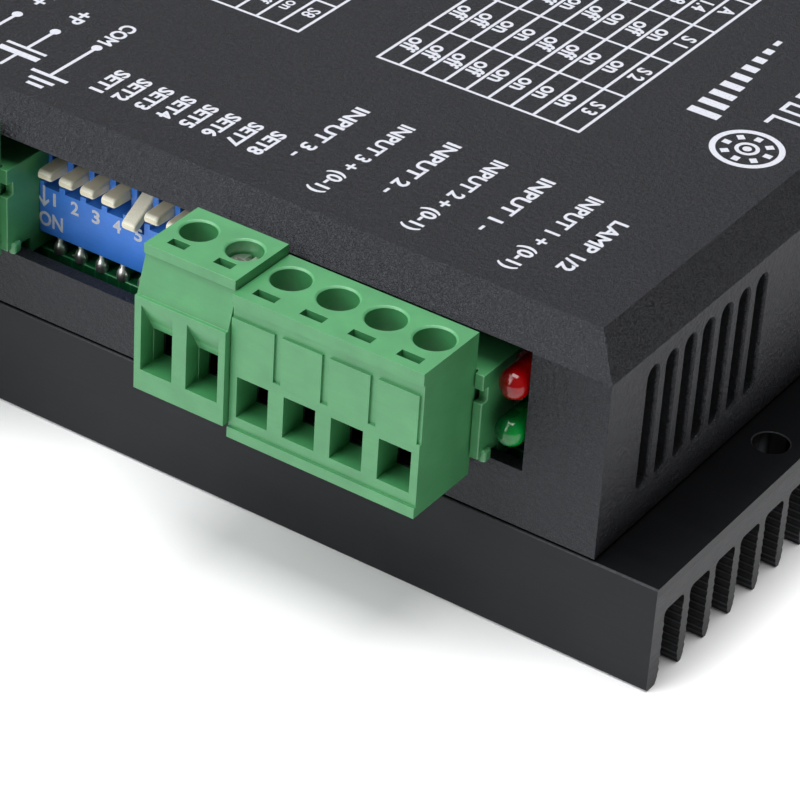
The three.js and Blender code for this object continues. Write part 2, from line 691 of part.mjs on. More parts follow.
// ---- lamps ----
// A round lens with a domed end and a flange, pointing to -Y, with the dome's centre as its origin.
function lamp() {
  const flangeR = LAMP_R + LAMP_FLANGE;
  const flangeFront = -LAMP_LENGTH + LAMP_FLANGE_THICKNESS;
  const rings = 5;
  const dome = range(rings - 1).map((i) => {
    const angle = ((i + 1) / rings) * (Math.PI / 2);
    return [LAMP_R * Math.cos(angle), LAMP_R * Math.sin(angle)];
  });
  const flange = [[0, -LAMP_LENGTH], [flangeR, -LAMP_LENGTH], [flangeR, flangeFront]];
  const barrel = [[LAMP_R, flangeFront], [LAMP_R, 0]];
  return turned([...flange, ...barrel, ...dome, [0, LAMP_R]], 16).rotateX(Math.PI / 2);
}

function buildLamps() {
  place(driver, "led_red", lamp(), redLens, LAMP_X, FRONT + LAMP_INSET, BOARD_TOP + RED_LIFT);
  place(driver, "led_green", lamp(), greenLens, LAMP_X, FRONT + LAMP_INSET, BOARD_TOP + GREEN_LIFT);
}

place(driver, "heatsink", heatsink(), anodised);
place(driver, "cover", cover(), moulding);
buildBoard();
buildElectronics();
buildSwitch();
buildConnectors();
buildLamps();

export default driver;
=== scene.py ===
"""A stepper driver module: a finned heatsink under a vented cover, with pull-out terminal plugs,
a switch block and two lamps along its front."""

import math

import bmesh
import bpy
from mathutils import Matrix, Vector


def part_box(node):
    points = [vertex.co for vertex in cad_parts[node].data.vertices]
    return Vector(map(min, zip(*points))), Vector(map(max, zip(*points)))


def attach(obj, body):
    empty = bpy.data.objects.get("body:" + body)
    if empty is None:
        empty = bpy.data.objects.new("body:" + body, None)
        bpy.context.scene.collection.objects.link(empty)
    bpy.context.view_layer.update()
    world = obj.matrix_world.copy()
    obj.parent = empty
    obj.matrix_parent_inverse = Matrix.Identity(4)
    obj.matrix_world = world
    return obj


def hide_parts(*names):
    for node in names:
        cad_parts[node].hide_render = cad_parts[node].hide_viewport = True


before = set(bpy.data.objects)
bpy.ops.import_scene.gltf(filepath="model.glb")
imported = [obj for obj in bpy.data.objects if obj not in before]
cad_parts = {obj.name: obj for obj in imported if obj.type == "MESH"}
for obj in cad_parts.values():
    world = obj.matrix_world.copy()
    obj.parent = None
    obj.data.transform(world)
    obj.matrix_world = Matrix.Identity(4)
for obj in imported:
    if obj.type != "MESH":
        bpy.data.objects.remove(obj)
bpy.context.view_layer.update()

# Helpers take millimetres, and meshes are made in metres.
MM = 0.001


def span(node):
    """The lowest and highest corner of a part, in millimetres."""
    low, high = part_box(node)
    return low / MM, high / MM


def middle(node):
    low, high = span(node)
    return (low + high) / 2


SINK_LOW, SINK_HIGH = span("heatsink")
COVER_LOW, COVER_HIGH = span("cover")
BOARD_LOW, BOARD_HIGH = span("circuit_board")
SWITCH_LOW, SWITCH_HIGH = span("dip_switch_body")
FRONT = COVER_LOW.y
TOP = COVER_HIGH.z
PITCH = middle("signal_screw_4").x - middle("signal_screw_3").x
SWITCH_PITCH = middle("dip_lever_2").x - middle("dip_lever_1").x

SINK_BASE = 3.3
SINK_WALL = 1.8
FIN = 1.05
FIN_COUNT = 15
MOUNT_HOLE_R = 1.8
MOUNT_HOLE_INSET = 3.4
MOUNT_HOLE_GAP = 2.5
MOUNT_HOLE_RIM = 0.1
GAP_FILLET = 0.6
FIN_RIDGE = 0.12
FIN_RIDGE_PITCH = 0.85
FIN_RIDGE_COUNT = 7
SCREW_POCKET_R = 3.0

SHELL = 1.5
BEVEL = 3.1
INK = 0.02
VENT_COUNT = 7
VENT_PITCH = 3.22
VENT_WIDTH = 1.8
VENT_HEIGHT = 13
VENT_TOP = 4.9
VENT_INSET = 7.4
WINDOW_SIDE_ROOM = 0.7
WINDOW_LAMP_LAP = 0.15
WINDOW_SILL = 1.6
POST_R = 3.2
POST_HOLE_R = 1.6

# Plugs and sockets: distances along Y from the screws, and heights in the housing.
TERMINALS = 6
SCREW_TO_FACE = 4.45
REAR_STEP = 1.23
NOSE_LENGTH = 7.4
HEADER_LIFT = 0.4
HEADER_WALL = 0.95
NOSE_ROOM = 0.3
CHAMBER_TOP = 8.9
CHAMBER_HALF = 1.9

SWITCHES = 8


# ---- shader nodes ----
class Wire:
    """A shader value. Sums on it add Math nodes."""

    def __init__(self, paint, socket):
        self.paint = paint
        self.socket = socket

    def math(self, operation, first, second=0.0):
        return self.paint.add("Math", {"operation": operation}, {0: first, 1: second})

    def __add__(self, other):
        return self.math("ADD", self, other)

    def __sub__(self, other):
        return self.math("SUBTRACT", self, other)

    def __mul__(self, other):
        return self.math("MULTIPLY", self, other)

    def __rsub__(self, other):
        return self.math("SUBTRACT", other, self)

    def __gt__(self, other):
        return self.math("GREATER_THAN", self, other)

    def __lt__(self, other):
        return self.math("LESS_THAN", self, other)

    def __abs__(self):
        return self.math("ABSOLUTE", self)

    __radd__ = __add__
    __rmul__ = __mul__


class Paint:
    """A finish under construction, worked out from the part's own millimetres."""

    def __init__(self, name, color, roughness, **sockets):
        self.material = bpy.data.materials.new(name)
        self.material.use_nodes = True
        self.tree = self.material.node_tree
        self.skin = self.tree.nodes["Principled BSDF"]
        self.set("Base Color", color)
        self.set("Roughness", roughness)
        for socket, value in sockets.items():
            self.set(socket.replace("_", " "), value)
        self.metres = self.add("TexCoord", out="Object")
        self.place = self.add("VectorMath", {"operation": "SCALE"}, {0: self.metres, 3: 1 / MM})
        self.facing = self.add("SeparateXYZ", inputs={0: self.add("TexCoord", out="Normal")}, out=None)
        self.xyz = self.add("SeparateXYZ", inputs={0: self.place}, out=None)
        self.normal = None

    def feed(self, socket, value):
        if isinstance(value, Wire):
            self.tree.links.new(value.socket, socket)
        elif isinstance(value, tuple) and len(value) == 3 and len(socket.default_value) == 4:
            socket.default_value = (*value, 1)
        else:
            socket.default_value = value

    def set(self, socket, value):
        self.feed(self.skin.inputs[socket], value)

    def add(self, kind, settings=None, inputs=None, out=0):
        """Adds one node: its settings first, then the values or wires of its sockets."""
        node = self.tree.nodes.new("ShaderNode" + kind)
        for key, value in (settings or {}).items():
            if key == "stops":
                for stop, (place, tone) in zip(ramp_stops(node, len(value)), value):
                    stop.position = place
                    stop.color = (*tone, 1) if isinstance(tone, tuple) else (tone, tone, tone, 1)
            else:
                setattr(node, key, value)
        for key, value in (inputs or {}).items():
            self.feed(node.inputs[key], value)
        if out is None:
            return [Wire(self, socket) for socket in node.outputs]
        return Wire(self, node.outputs[out])

    def stretched(self, x, y, z):
        return self.add("VectorMath", {"operation": "MULTIPLY"}, {0: self.place, 1: (x, y, z)})

    def noise(self, scale, detail=3.0, where=None):
        inputs = {"Vector": where or self.place, "Scale": scale, "Detail": detail}
        return self.add("TexNoise", inputs=inputs)

    def cells(self, scale, where=None, feature="F1", out="Distance"):
        inputs = {"Vector": where or self.place, "Scale": scale}
        return self.add("TexVoronoi", {"feature": feature}, inputs, out)

    def ramp(self, value, stops):
        return self.add("ValToRGB", {"stops": stops}, {0: value})

    def mix(self, mask, first, second):
        return self.add("Mix", {"data_type": "RGBA"}, {0: mask, 6: first, 7: second}, 2)

    def between(self, value, low, high):
        """Turns 0 to 1 into low to high."""
        return self.add("MapRange", inputs={"Value": value, "To Min": low, "To Max": high})

    def edges(self):
        """1 on the rounded top and bottom edges of a squared piece, where the finishes paint a highlight."""
        x, y, z = self.facing
        return (abs(x) < 0.93) * (abs(y) < 0.93) * (abs(z) < 0.93) * (abs(z) > 0.15)

    def bump(self, height, strength, depth):
        """Adds relief, depth millimetres high."""
        inputs = {"Strength": strength, "Distance": depth * MM, "Height": height}
        if self.normal:
            inputs["Normal"] = self.normal
        self.normal = self.add("Bump", inputs=inputs)
        self.set("Normal", self.normal)


def ramp_stops(node, count):
    stops = node.color_ramp.elements
    while len(stops) < count:
        stops.new(0.5)
    return stops


# ---- finishes ----
def anodised_finish():
    """Black anodising with drawing lines along X, a painted sheen on the front face, rubbed edges with a
    painted highlight, and bare saw-cut ends.
    """
    paint = Paint("anodised_aluminium", (0.005, 0.005, 0.006), 0.42, Specular_IOR_Level=0.15,
                  Specular_Tint=(0.86, 0.93, 1.0))
    drawn = paint.noise(1.0, 4.0, paint.stretched(0.03, 5.0, 5.0))
    mottle = paint.noise(0.25, 4.0)
    black = paint.mix(drawn, (0.0012, 0.0013, 0.0015), (0.003, 0.0031, 0.0035))
    # Painted sheen: the front face gets a paler colour for the light it catches.
    front = paint.facing[1] < -0.9
    front_painted_sheen = paint.mix(drawn, (0.013, 0.0135, 0.0145), (0.019, 0.0195, 0.0205))
    black = paint.mix(front, black, front_painted_sheen)
    black = paint.mix(mottle * 0.4, black, (0.006, 0.0062, 0.007))
    ends = abs(paint.facing[0]) > 0.9
    # Rubbed edges: a paler noisy line on the rounded edges, partly wear and partly a painted highlight.
    black = paint.mix(paint.edges() * paint.noise(2.5, 4.0), black, (0.05, 0.05, 0.053))
    saw = paint.noise(1.0, 3.0, paint.stretched(1.0, 0.5, 9.0))
    bare = paint.ramp(saw, [(0.35, (0.012, 0.012, 0.013)), (0.65, (0.035, 0.035, 0.037))])
    low = paint.xyz[2] < SINK_HIGH.z - SINK_BASE + 2.2
    paint.set("Base Color", paint.mix(ends * (0.45 + low * 0.55), black, bare))
    paint.set("Roughness", paint.between(drawn, 0.27, 0.42))
    paint.bump(drawn, 0.25, 0.02)
    paint.bump(saw * ends, 0.5, 0.04)
    return paint.material


def shell_finish():
    """Black moulding with a fine leather grain whose specks carry painted glints, fewer on its end bevels,
    and painted shade with a duller finish inside its slots.
    """
    paint = Paint("grained_black_moulding", (0.005, 0.005, 0.006), 0.4, Specular_IOR_Level=0.4,
                  Specular_Tint=(0.88, 0.92, 1.0))
    wander = paint.noise(1.4, 2.0)
    cells = paint.cells(2.1, feature="SMOOTH_F1")
    fine = paint.noise(7.0, 3.0)
    haze = paint.noise(0.06, 3.0)
    grain = cells * 0.7 + fine * 0.3 + wander * 0.25
    # The specks are painted glints: pale flecks that stand for light caught by the grain.
    glinting_speck = paint.ramp(fine, [(0.48, 0.0), (0.66, 1.0)])
    x, y, z = paint.xyz
    in_wall = (abs(x) < COVER_HIGH.x - 0.3) * (abs(x) > COVER_HIGH.x - SHELL - 0.2)
    slots = in_wall * (abs(y) < -FRONT - SHELL - 1) * (z < TOP - BEVEL - 0.5)
    end_bevel = (abs(paint.facing[0]) > 0.4) * (paint.facing[2] > 0.3)
    # The painted glints are damped on the end bevels.
    black = paint.mix(glinting_speck * (1 - end_bevel * 0.7), (0.0008, 0.0008, 0.0011), (0.032, 0.0315, 0.038))
    black = paint.mix(haze * 0.5, black, (0.005, 0.005, 0.006))
    # Painted shade: the slot walls are made near black for the shade inside the slots.
    paint.set("Base Color", paint.mix(slots, black, (0.0003, 0.0003, 0.0003)))
    paint.set("Roughness", paint.between(grain, 0.34, 0.5) + slots * 0.45)
    paint.bump(grain, 1.0, 0.16)
    paint.bump(glinting_speck, 0.8, 0.04)
    return paint.material


def ink_finish():
    paint = Paint("white_ink", (0.62, 0.63, 0.66), 0.5)
    worn = paint.noise(5.0, 4.0)
    paint.set("Base Color", paint.ramp(worn, [(0.25, (0.34, 0.35, 0.39)), (0.5, (0.5, 0.51, 0.56))]))
    paint.bump(worn, 0.3, 0.01)
    return paint.material


def laminate_finish():
    """Green solder mask over glass cloth, with tracks under it."""
    paint = Paint("solder_mask", (0.006, 0.09, 0.03), 0.3, Coat_Weight=0.4)
    layout = {"Vector": paint.place, "Scale": 0.35, "Mortar Size": 0.035}
    tracks = paint.add("TexBrick", {"offset": 0.37}, layout, 1)
    weave = paint.add("TexWave", inputs={"Vector": paint.place, "Scale": 2.2, "Distortion": 0.4}, out="Fac")
    vias = paint.cells(0.28) < 0.09
    mask = paint.mix(tracks, (0.006, 0.085, 0.028), (0.012, 0.15, 0.05))
    mask = paint.mix(weave * 0.25, mask, (0.004, 0.06, 0.02))
    # Painted highlight: a paler green along the board's rounded edges.
    mask = paint.mix(paint.edges(), mask, (0.03, 0.26, 0.09))
    paint.set("Base Color", paint.mix(vias, mask, (0.45, 0.42, 0.35)))
    paint.bump(tracks, 0.4, 0.035)
    paint.bump(weave, 0.12, 0.02)
    return paint.material


def moulded_finish(name, color, roughness, depth, **sockets):
    """A satin moulding: slow tone changes, a faint grain, and flow lines."""
    paint = Paint(name, color, roughness, **sockets)
    cloud = paint.noise(0.35, 3.0)
    grain = paint.noise(11.0, 3.0)
    flow = paint.noise(1.0, 2.0, paint.stretched(0.6, 0.6, 3.5))
    lighter = tuple(min(1.0, c * 1.13 + 0.003) for c in color)
    darker = tuple(c * 0.86 for c in color)
    tone = cloud * 0.55 + grain * 0.25 + flow * 0.2
    shade = paint.ramp(tone, [(0.32, darker), (0.5, color), (0.68, lighter)])
    # Painted highlight: a paler tone on the rounded edges, broken up by the grain.
    pale = tuple(min(1.0, c * 1.6 + 0.07) for c in color)
    paint.set("Base Color", paint.mix(paint.edges() * grain, shade, pale))
    paint.set("Roughness", paint.between(grain, roughness - 0.06, roughness + 0.08))
    paint.bump(grain, 0.35, depth)
    paint.bump(flow, 0.15, depth)
    return paint.material


def metal_finish(name, color, roughness, tarnish):
    """Plated metal with fine turning marks and a little dullness."""
    paint = Paint(name, color, roughness, Metallic=1.0)
    marks = paint.noise(9.0, 4.0)
    dull = paint.noise(0.9, 3.0)
    paint.set("Base Color", paint.mix(dull * 0.6, color, tarnish))
    paint.set("Roughness", paint.between(dull, roughness - 0.08, roughness + 0.14))
    paint.bump(marks, 0.3, 0.015)
    return paint.material


def lens_finish(name, color, shaded_tone):
    """Tinted clear resin, with painted shade on its left side that gives way to painted light on its right.
    """
    paint = Paint(name, color, 0.08, Transmission_Weight=0.35, IOR=1.5)
    swirl = paint.noise(1.6, 2.0)
    # Painted light and shade: the lens colour runs from the shaded tone on the left to the lit colour on the
    # right.
    across = paint.xyz[0] - middle("led_red").x
    body = paint.add("MapRange", inputs={"Value": across, "From Min": -0.5, "From Max": 1.5})
    paint.set("Base Color", paint.mix(body * 0.85 + swirl * 0.1, shaded_tone, color))
    paint.bump(swirl, 0.06, 0.02)
    return paint.material


def sleeve_finish():
    """Shrunk sleeve with a pale stripe down one side."""
    paint = Paint("capacitor_sleeve", (0.012, 0.013, 0.018), 0.32)
    shrink = paint.noise(1.0, 3.0, paint.stretched(1.5, 1.5, 0.2))
    stripe = paint.facing[0] > 0.93
    paint.set("Base Color", paint.mix(stripe, (0.012, 0.013, 0.02), (0.38, 0.38, 0.4)))
    paint.set("Roughness", paint.between(shrink, 0.25, 0.42))
    paint.bump(shrink, 0.3, 0.04)
    return paint.material


def floor_finish():
    paint = Paint("studio_floor", (0.93, 0.93, 0.935), 0.6)
    paper = paint.noise(0.02, 2.0)
    paint.set("Base Color", paint.mix(paper, (0.92, 0.92, 0.925), (0.95, 0.95, 0.955)))
    return paint.material


ANODISED = anodised_finish()
BLACK = shell_finish()
WHITE_INK = ink_finish()
LAMINATE = laminate_finish()
BLUE = moulded_finish("switch_blue", (0.03, 0.165, 0.6), 0.4, 0.012)
CREAM = moulded_finish("lever_cream", (0.72, 0.66, 0.5), 0.45, 0.012)
GREEN = moulded_finish("terminal_green", (0.042, 0.22, 0.075), 0.42, 0.02, Specular_IOR_Level=0.75)
PLATED = metal_finish("nickel_plate", (0.8, 0.79, 0.77), 0.3, (0.55, 0.54, 0.52))
# Painted shade: the contact cages get a near-black plating for the shade deep in the wire entries.
CONTACT_PAINTED_DARK = metal_finish("contact_steel", (0.1, 0.095, 0.09), 0.3, (0.03, 0.03, 0.03))
TINNED = metal_finish("tinned_lead", (0.95, 0.95, 0.93), 0.36, (0.8, 0.8, 0.79))
# The second colours are the painted shade on each lens's left side.
RED_RESIN = lens_finish("red_resin", (0.55, 0.002, 0.003), (0.045, 0.0005, 0.001))
GREEN_RESIN = lens_finish("green_resin", (0.003, 0.42, 0.06), (0.0006, 0.035, 0.009))
SLEEVE = sleeve_finish()
CHIP = moulded_finish("chip_resin", (0.014, 0.014, 0.015), 0.55, 0.02)
PAD = moulded_finish("thermal_pad", (0.26, 0.3, 0.36), 0.75, 0.03)
CERAMIC = moulded_finish("ceramic_body", (0.36, 0.27, 0.18), 0.5, 0.01)


# ---- mesh tools ----
def new_object(name, bm):
    """Makes an object of a bmesh in millimetres."""
    bmesh.ops.remove_doubles(bm, verts=bm.verts, dist=1e-5)
    bmesh.ops.recalc_face_normals(bm, faces=bm.faces)
    bmesh.ops.scale(bm, vec=(MM, MM, MM), verts=bm.verts)
    mesh = bpy.data.meshes.new(name)
    bm.to_mesh(mesh)
    bm.free()
    made = bpy.data.objects.new(name, mesh)
    bpy.context.scene.collection.objects.link(made)
    return made


def merged(*pieces):
    """One bmesh of several, which are used up."""
    whole = bmesh.new()
    for piece in pieces:
        scratch = bpy.data.meshes.new("scratch")
        piece.to_mesh(scratch)
        piece.free()
        whole.from_mesh(scratch)
        bpy.data.meshes.remove(scratch)
    return whole


def moved(bm, x=0, y=0, z=0):
    bmesh.ops.translate(bm, vec=(x, y, z), verts=bm.verts)
    return bm


def turned(bm, angle, axis, centre=(0, 0, 0)):
    bmesh.ops.rotate(bm, cent=centre, matrix=Matrix.Rotation(angle, 3, axis), verts=bm.verts)
    return bm


AXES = {"X": lambda a, u, v: (a, u, v), "Y": lambda a, u, v: (u, a, v), "Z": lambda a, u, v: (u, v, a)}


def prism(axis, outline, start, end):
    """Sweeps a closed outline of (u, v) points along an axis."""
    bm = bmesh.new()
    rings = [[bm.verts.new(AXES[axis](a, u, v)) for u, v in outline] for a in (start, end)]
    bm.faces.new(rings[0])
    bm.faces.new(rings[1])
    for i in range(len(outline)):
        j = (i + 1) % len(outline)
        bm.faces.new((rings[0][i], rings[0][j], rings[1][j], rings[1][i]))
    return bm


def block(x, y, z):
    return prism("Z", [(x[0], y[0]), (x[1], y[0]), (x[1], y[1]), (x[0], y[1])], *z)


def lathe(profile, segments=32):
    """Turns (radius, z) points about Z. A radius of 0 closes the end."""
    bm = bmesh.new()
    turns = [2 * math.pi * i / segments for i in range(segments)]
    rings = []
    for radius, z in profile:
        count = 1 if radius == 0 else segments
        rings.append([bm.verts.new((radius * math.cos(t), radius * math.sin(t), z)) for t in turns[:count]])
    for low, high in zip(rings, rings[1:]):
        for i in range(segments):
            j = (i + 1) % segments
            corners = [low[i % len(low)], low[j % len(low)], high[j % len(high)], high[i % len(high)]]
            corners = list(dict.fromkeys(corners))
            if len(corners) > 2:
                bm.faces.new(corners)
    return bm


def tube(outer, inner, start, end):
    """A straight tube along Y between two outlines of (x, z) points."""
    bm = bmesh.new()
    rings = [[bm.verts.new((x, y, z)) for x, z in shape] for shape, y in
             ((outer, start), (outer, end), (inner, end), (inner, start))]
    for k in range(4):
        for i in range(len(outer)):
            j = (i + 1) % len(outer)
            bm.faces.new((rings[k][i], rings[k][j], rings[(k + 1) % 4][j], rings[(k + 1) % 4][i]))
    return bm


def rod(radius, z0, z1, segments=32):
    return lathe([(0, z0), (radius, z0), (radius, z1), (0, z1)], segments)


def arc(centre, radius, start, end, steps):
    """Points on an arc, with angles in degrees."""
    angles = [math.radians(start + (end - start) * i / steps) for i in range(steps + 1)]
    return [(centre[0] + radius * math.cos(a), centre[1] + radius * math.sin(a)) for a in angles]


def applied(target):
    """Makes an object's modifiers part of its mesh."""
    graph = bpy.context.evaluated_depsgraph_get()
    mesh = bpy.data.meshes.new_from_object(target.evaluated_get(graph))
    target.modifiers.clear()
    target.data = mesh
    return target


def boolean(target, operation, tools):
    """Joins or cuts with a list of bmeshes, one after another."""
    cutter = new_object("cutter", merged(*tools))
    step = target.modifiers.new("cut", "BOOLEAN")
    step.operation = operation
    step.object = cutter
    step.solver = "EXACT"
    step.use_self = True
    bpy.context.view_layer.update()
    applied(target)
    bpy.data.objects.remove(cutter)
    return target


def rounded(target, width, segments=2, angle=35):
    """Rounds the edges that turn by more than the angle and keeps the faces between them flat."""
    step = target.modifiers.new("edges", "BEVEL")
    step.width = width * MM
    step.segments = segments
    step.limit_method = "ANGLE"
    step.angle_limit = math.radians(angle)
    step.use_clamp_overlap = True
    step.miter_outer = "MITER_ARC"
    for face in target.data.polygons:
        face.use_smooth = True
    shade = target.modifiers.new("shading", "WEIGHTED_NORMAL")
    shade.keep_sharp = True
    return target


def smoothed(target, angle=35):
    """Smooth shading that breaks at edges sharper than the angle."""
    for face in target.data.polygons:
        face.use_smooth = True
    target.data.set_sharp_from_angle(angle=math.radians(angle))
    return target


def piece(target, body, material, slot=None, replaces=()):
    """Finishes a new piece: its material, the body it rides on and the parts it stands for."""
    target.data.materials.clear()
    target.data.materials.append(material)
    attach(target, body)
    if replaces:
        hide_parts(*replaces)
    return target


def dressed(node, material, width=None):
    """Gives a carried-over part its material and, where a width is given, rounded edges."""
    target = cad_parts[node]
    target.data.materials.clear()
    target.data.materials.append(material)
    if width is None:
        return target
    weld = target.modifiers.new("weld", "WELD")
    weld.merge_threshold = 1e-6
    flat = target.modifiers.new("flat", "DECIMATE")
    flat.decimate_type = "DISSOLVE"
    flat.angle_limit = math.radians(1)
    return rounded(target, width)


# ---- heatsink ----
def fin_side(y, way, foot, roof):
    """One face of a fin, from its rounded tip up to the gap's roof, with shallow ridges."""
    crest = y + way * FIN_RIDGE
    start = roof - 1.1 - FIN_RIDGE_COUNT * FIN_RIDGE_PITCH
    points = [(y - way * 0.33, foot), (y, foot + 0.7)]
    for i in range(FIN_RIDGE_COUNT):
        z = start + i * FIN_RIDGE_PITCH
        points += [(y, z), (crest, z + FIN_RIDGE_PITCH * 0.35)]
        points += [(crest, z + FIN_RIDGE_PITCH * 0.6), (y, z + FIN_RIDGE_PITCH * 0.95)]
    return points


def heatsink():
    foot = SINK_LOW.z
    top = SINK_HIGH.z
    roof = top - SINK_BASE
    pitch = (SINK_HIGH.y - SINK_LOW.y - 2 * SINK_WALL + FIN) / (FIN_COUNT + 1)
    gap = pitch - FIN
    outline = []
    for i in range(FIN_COUNT + 1):
        centre = (i - FIN_COUNT / 2) * pitch
        near, far = centre - gap / 2, centre + gap / 2
        outline += fin_side(near, 1, foot, roof)
        outline += arc((near + GAP_FILLET, roof - GAP_FILLET), GAP_FILLET, 180, 90, 4)
        outline += arc((far - GAP_FILLET, roof - GAP_FILLET), GAP_FILLET, 90, 0, 4)
        outline += reversed(fin_side(far, -1, foot, roof))
    low, high = SINK_LOW.y, SINK_HIGH.y
    chamfer = 0.25
    corner = 0.3
    outline += [(high - chamfer, foot), (high, foot + chamfer)]
    outline += arc((high - corner, top - corner), corner, 0, 90, 4)
    outline += arc((low + corner, top - corner), corner, 90, 180, 4)
    outline += [(low, foot + chamfer), (low + chamfer, foot)]
    made = new_object("finned_base", prism("X", outline, SINK_LOW.x, SINK_HIGH.x))
    rim = MOUNT_HOLE_R + MOUNT_HOLE_RIM
    profile = [(0, roof - 1), (MOUNT_HOLE_R, roof - 1), (MOUNT_HOLE_R, top - MOUNT_HOLE_RIM)]
    profile += [(rim, top), (rim, top + 1), (0, top + 1)]
    holes = []
    for side in (SINK_LOW.x + MOUNT_HOLE_INSET, SINK_HIGH.x - MOUNT_HOLE_INSET):
        for row in (-MOUNT_HOLE_GAP * pitch, MOUNT_HOLE_GAP * pitch):
            holes.append(moved(lathe(profile, 40), side, row))
    boolean(made, "DIFFERENCE", holes)
    for node in ("cover_screw_1", "cover_screw_2"):
        place = middle(node)
        boolean(made, "DIFFERENCE", [moved(rod(SCREW_POCKET_R, foot - 1, roof + 0.02), place.x, place.y)])
    smoothed(made, 18)
    piece(made, "housing", ANODISED, "anodised_metal", ["heatsink"])


# ---- cover ----
def bevelled_hull(inset, bottom):
    """A block whose top edges are cut back at 45 degrees."""
    x = COVER_HIGH.x - inset
    y = COVER_HIGH.y - inset
    top = TOP - INK - inset
    cut = BEVEL - inset * (2 - math.sqrt(2))
    bm = bmesh.new()
    rings = []
    for dx, z in ((0, bottom), (0, top - cut), (cut, top)):
        corners = ((-x + dx, -y + dx), (x - dx, -y + dx), (x - dx, y - dx), (-x + dx, y - dx))
        rings.append([bm.verts.new((u, v, z)) for u, v in corners])
    bm.faces.new(rings[0])
    bm.faces.new(rings[-1])
    for low, high in zip(rings, rings[1:]):
        for i in range(4):
            j = (i + 1) % 4
            bm.faces.new((low[i], low[j], high[j], high[i]))
    return bm


def vent_slots():
    """Cutters for the round-ended slots, flared so each slot gets a soft lip."""
    high = TOP - VENT_TOP - VENT_WIDTH / 2
    low = TOP - VENT_TOP - VENT_HEIGHT + VENT_WIDTH / 2
    depths = ((SHELL + 1, 0.0), (1.0, 0.0), (0.36, 0.0), (0.2, 0.04), (0.08, 0.12), (0.02, 0.22), (-1, 0.3))
    places = [FRONT + VENT_INSET + i * VENT_PITCH for i in range(VENT_COUNT)]
    slots = []
    for y in places + [-y for y in places]:
        for side in (-1, 1):
            bm = bmesh.new()
            rings = []
            for depth, flare in depths:
                radius = VENT_WIDTH / 2 + flare
                outline = arc((y, high), radius, 0, 180, 10) + arc((y, low), radius, 180, 360, 10)
                x = side * (COVER_HIGH.x - depth)
                rings.append([bm.verts.new((x, u, v)) for u, v in outline])
            bm.faces.new(rings[0])
            bm.faces.new(rings[-1])
            for inner, outer in zip(rings, rings[1:]):
                for i in range(len(inner)):
                    j = (i + 1) % len(inner)
                    bm.faces.new((inner[i], inner[j], outer[j], outer[i]))
            slots.append(bm)
    return slots


def cover():
    made = new_object("cover_shell", bevelled_hull(0, COVER_LOW.z))
    boolean(made, "DIFFERENCE", [bevelled_hull(SHELL, COVER_LOW.z - 1)])
    left = span("power_header")[0].x - WINDOW_SIDE_ROOM
    right = span("led_red")[1].x - WINDOW_LAMP_LAP
    sill = BOARD_HIGH.z + WINDOW_SILL
    window = block((left, right), (FRONT - 1, FRONT + 2 * SHELL), (sill, TOP - BEVEL + 0.05))
    boolean(made, "DIFFERENCE", [window])
    applied(rounded(made, 0.25, 3))
    boolean(made, "DIFFERENCE", vent_slots())
    smoothed(made, 30)
    made.modifiers.new("shading", "WEIGHTED_NORMAL").keep_sharp = True
    piece(made, "housing", BLACK, "shell_plastic", ["cover"])
    posts = []
    for node in ("cover_screw_1", "cover_screw_2"):
        place = middle(node)
        profile = [(POST_HOLE_R, COVER_LOW.z), (POST_R, COVER_LOW.z), (POST_R, TOP - SHELL)]
        profile += [(POST_HOLE_R, TOP - SHELL), (POST_HOLE_R, COVER_LOW.z)]
        posts.append(moved(lathe(profile), place.x, place.y))
        for turn in range(4):
            rib = block((2.9, 4.0), (-0.5, 0.5), (COVER_LOW.z + 5, TOP - SHELL))
            posts.append(moved(turned(rib, turn * math.pi / 2, "Z"), place.x, place.y))
    posts = new_object("screw_posts", merged(*posts))
    piece(smoothed(posts), "housing", BLACK, "shell_plastic")


# ---- print on the cover ----
INK_Z = TOP - INK
CAPITAL_HEIGHT = 0.7
RULED_LINE = 0.32
SYMBOL_LINE = 0.38
TABLE_PITCH = 2.54


def flat_shape(outline, ink=0.014):
    return prism("Z", outline, INK_Z - 0.004, INK_Z + ink)


def bar(x0, x1, y0, y1):
    """A ruled mark. Marks along X are a hair thinner, so crossing lines never share a surface."""
    ink = 0.011 if x1 - x0 > y1 - y0 else 0.014
    return flat_shape([(x0, y0), (x1, y0), (x1, y1), (x0, y1)], ink)


def dot(x, y, radius):
    return flat_shape(arc((x, y), radius, 0, 345, 23), 0.017)


def ring(x, y, radius, line):
    bm = bmesh.new()
    steps = 48
    rings = []
    for r, z in ((radius, -0.004), (radius, 0.014), (radius - line, 0.014), (radius - line, -0.004)):
        turns = [2 * math.pi * i / steps for i in range(steps)]
        rings.append([bm.verts.new((x + r * math.cos(t), y + r * math.sin(t), INK_Z + z)) for t in turns])
    for k in range(4):
        for i in range(steps):
            j = (i + 1) % steps
            bm.faces.new((rings[k][i], rings[k][j], rings[(k + 1) % 4][j], rings[(k + 1) % 4][i]))
    return bm


